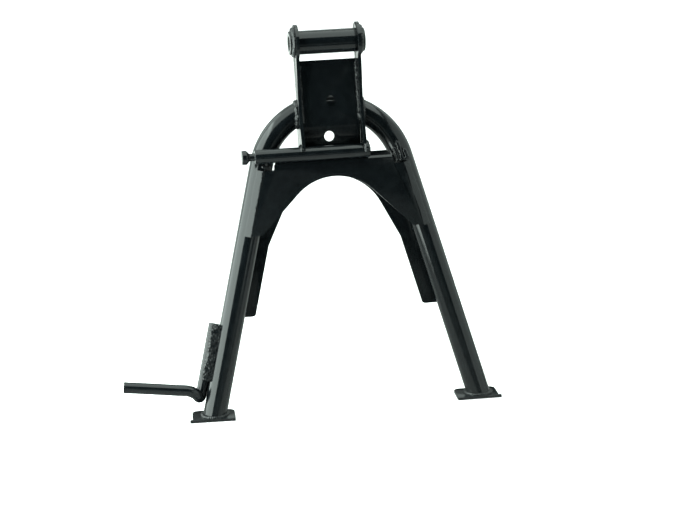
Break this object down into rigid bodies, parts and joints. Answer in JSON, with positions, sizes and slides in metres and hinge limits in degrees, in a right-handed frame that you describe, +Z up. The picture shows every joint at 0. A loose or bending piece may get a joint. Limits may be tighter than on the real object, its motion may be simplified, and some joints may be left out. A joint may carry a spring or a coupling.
{
  "type": "motorcycle centre stand",
  "caption": "Welded centre stand for a motorcycle: splayed tube legs with foot plates, sheet gussets, a pivot tube on two lugs, a spring bar and a foot lever.",
  "frame": {"origin": "middle of the pivot tube, on its axis", "axes": "+X along the pivot tube to the machine's other side from the foot lever, +Y from the gussets' front towards the back of the legs, +Z up from the soles"},
  "size_m": [0.4036, 0.1028, 0.4018],
  "materials": {
    "bar_leg_weld": "painted weld bead, gloss black",
    "bridge_plate": "gloss black stove enamel on steel",
    "cross_bar": "gloss black stove enamel on steel",
    "foot_lever": "gloss black stove enamel on steel",
    "foot_lever_weld": "painted weld bead, gloss black",
    "front_gusset": "gloss black stove enamel on steel",
    "left_arch_weld": "painted weld bead, gloss black",
    "left_bar_weld": "painted weld bead, gloss black",
    "left_bridge_weld": "painted weld bead, gloss black",
    "left_foot": "gloss black stove enamel on steel",
    "left_foot_weld": "painted weld bead, gloss black",
    "left_front_gusset_weld": "painted weld bead, gloss black",
    "left_pivot_lug": "gloss black stove enamel on steel",
    "left_pivot_weld": "painted weld bead, gloss black",
    "left_rear_gusset_weld": "painted weld bead, gloss black",
    "left_shoulder_weld": "painted weld bead, gloss black",
    "leg_tube": "gloss black stove enamel on steel",
    "pivot_tube": "gloss black stove enamel on steel",
    "rear_gusset": "gloss black stove enamel on steel",
    "right_arch_weld": "painted weld bead, gloss black",
    "right_bar_weld": "painted weld bead, gloss black",
    "right_bridge_weld": "painted weld bead, gloss black",
    "right_foot": "gloss black stove enamel on steel",
    "right_foot_weld": "painted weld bead, gloss black",
    "right_front_gusset_weld": "painted weld bead, gloss black",
    "right_pivot_lug": "gloss black stove enamel on steel",
    "right_pivot_weld": "painted weld bead, gloss black",
    "right_rear_gusset_weld": "painted weld bead, gloss black",
    "right_shoulder_weld": "painted weld bead, gloss black"
  },
  "bodies": {
    "root": {"bar_leg_weld": "bar_leg_weld", "bridge_plate": "bridge_plate", "cross_bar": "cross_bar", "foot_lever": "foot_lever", "foot_lever_weld": "foot_lever_weld", "front_gusset": "front_gusset", "left_arch_weld": "left_arch_weld", "left_bar_weld": "left_bar_weld", "left_bridge_weld": "left_bridge_weld", "left_foot": "left_foot", "left_foot_weld": "left_foot_weld", "left_front_gusset_weld": "left_front_gusset_weld", "left_pivot_lug": "left_pivot_lug", "left_pivot_weld": "left_pivot_weld", "left_rear_gusset_weld": "left_rear_gusset_weld", "left_shoulder_weld": "left_shoulder_weld", "leg_tube": "leg_tube", "pivot_tube": "pivot_tube", "rear_gusset": "rear_gusset", "right_arch_weld": "right_arch_weld", "right_bar_weld": "right_bar_weld", "right_bridge_weld": "right_bridge_weld", "right_foot": "right_foot", "right_foot_weld": "right_foot_weld", "right_front_gusset_weld": "right_front_gusset_weld", "right_pivot_lug": "right_pivot_lug", "right_pivot_weld": "right_pivot_weld", "right_rear_gusset_weld": "right_rear_gusset_weld", "right_shoulder_weld": "right_shoulder_weld"}
  },
  "joints": []
}
